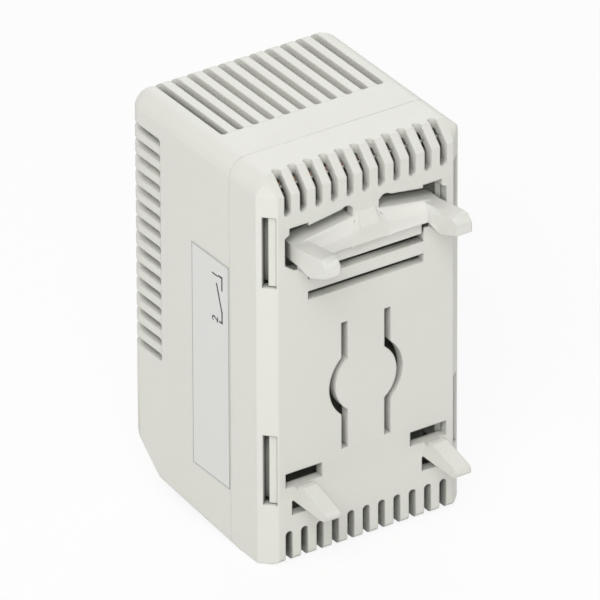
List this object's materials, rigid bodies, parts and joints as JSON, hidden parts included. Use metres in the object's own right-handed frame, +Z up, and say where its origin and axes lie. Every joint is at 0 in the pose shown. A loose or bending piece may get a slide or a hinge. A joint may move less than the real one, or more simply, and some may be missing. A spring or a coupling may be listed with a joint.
{
  "type": "din rail thermostat",
  "caption": "Small upright plastic thermostat with a front dial, rows of slots for air, springy hooks and fixed fingers behind that clip over a top-hat rail, and screw terminals.",
  "frame": {"origin": "on the rail face, half way across the housing and on the centre line of the 35 mm rail", "axes": "+Z up, +Y out of the rail face towards the rail, the dial faces -Y"},
  "size_m": [0.0331, 0.043, 0.06],
  "materials": {
    "shell_plastic": "fine moulded grain, warm light grey",
    "dial_plastic": "fine moulded grain, lighter than the housing",
    "carrier_plastic": "dark moulded",
    "spindle_brass": "turned",
    "lever_steel": "zinc plated",
    "spring_steel": "drawn wire",
    "bimetal": "rolled strip",
    "contact_silver": "polished silver",
    "magnet_ferrite": "sintered",
    "copper_strip": "stamped copper strip",
    "screw_steel": "zinc plated",
    "cage_plated": "nickel plated",
    "label_film": "satin film"
  },
  "bodies": {
    "housing": {"front_cover": "shell_plastic", "rear_base": "shell_plastic", "inner_carrier": "carrier_plastic", "lever_pin": "lever_steel", "spindle_bush": "spindle_brass", "fixed_contact": "contact_silver", "magnet": "magnet_ferrite", "strip_rivets": "lever_steel", "line_strip": "copper_strip", "load_strip": "copper_strip", "rating_label": "label_film", "setting_spring": "spring_steel"},
    "clip_arm_left": {"clip_arm_left": "shell_plastic"},
    "clip_arm_right": {"clip_arm_right": "shell_plastic"},
    "dial": {"dial_knob": "dial_plastic"},
    "spindle": {"adjusting_spindle": "spindle_brass"},
    "lever": {"setting_lever": "lever_steel"},
    "bimetal": {"bimetal_strip": "bimetal", "moving_contact": "contact_silver"},
    "screw_1": {"terminal_screw_1": "screw_steel"},
    "screw_2": {"terminal_screw_2": "screw_steel"},
    "cage_1": {"clamp_cage_1": "cage_plated"},
    "cage_2": {"clamp_cage_2": "cage_plated"}
  },
  "joints": [
    {"name": "clip_arm_left_bend", "type": "hinge", "parent": "housing", "child": "clip_arm_left", "pos_m": [0, 0, 0.01866], "axis": [0, -1, 0], "range_deg": [0, 6], "stiffness_Nm_per_rad": 0.6},
    {"name": "clip_arm_right_bend", "type": "hinge", "parent": "housing", "child": "clip_arm_right", "pos_m": [0, 0, 0.01866], "axis": [0, 1, 0], "range_deg": [0, 6], "stiffness_Nm_per_rad": 0.6},
    {"name": "dial_turn", "type": "hinge", "parent": "housing", "child": "dial", "pos_m": [0, 0, 0.00666], "axis": [0, 1, 0], "range_deg": [0, 300]},
    {"name": "spindle_slide", "type": "slide", "parent": "dial", "child": "spindle", "axis": [0, 1, 0], "range_m": [0, 0.00062]},
    {"name": "lever_rock", "type": "hinge", "parent": "housing", "child": "lever", "pos_m": [0, -0.0152, -0.00134], "axis": [-1, 0, 0], "range_deg": [0, 4.45], "deforming": ["setting_spring"]},
    {"name": "bimetal_snap", "type": "hinge", "parent": "housing", "child": "bimetal", "pos_m": [-0.007, -0.01805, -0.01214], "axis": [1, 0, 0], "range_deg": [0, 1], "stiffness_Nm_per_rad": 0.05},
    {"name": "terminal_screw_1_turn", "type": "hinge", "parent": "housing", "child": "screw_1", "pos_m": [-0.0085, 0, -0.01784], "axis": [0, 1, 0], "range_deg": [0, 900]},
    {"name": "terminal_screw_2_turn", "type": "hinge", "parent": "housing", "child": "screw_2", "pos_m": [0.0085, 0, -0.01784], "axis": [0, 1, 0], "range_deg": [0, 900]},
    {"name": "clamp_cage_1_travel", "type": "slide", "parent": "housing", "child": "cage_1", "axis": [0, -1, 0], "range_m": [0, 0.0015]},
    {"name": "clamp_cage_2_travel", "type": "slide", "parent": "housing", "child": "cage_2", "axis": [0, -1, 0], "range_m": [0, 0.0015]}
  ],
  "couplings": [
    {"joint": "spindle_slide", "follows": "dial_turn", "m_per_rad": 0.00011841},
    {"joint": "lever_rock", "follows": "dial_turn", "ratio": 0.0148},
    {"joint": "terminal_screw_1_turn", "follows": "clamp_cage_1_travel", "rad_per_m": 10472},
    {"joint": "terminal_screw_2_turn", "follows": "clamp_cage_2_travel", "rad_per_m": 10472}
  ]
}
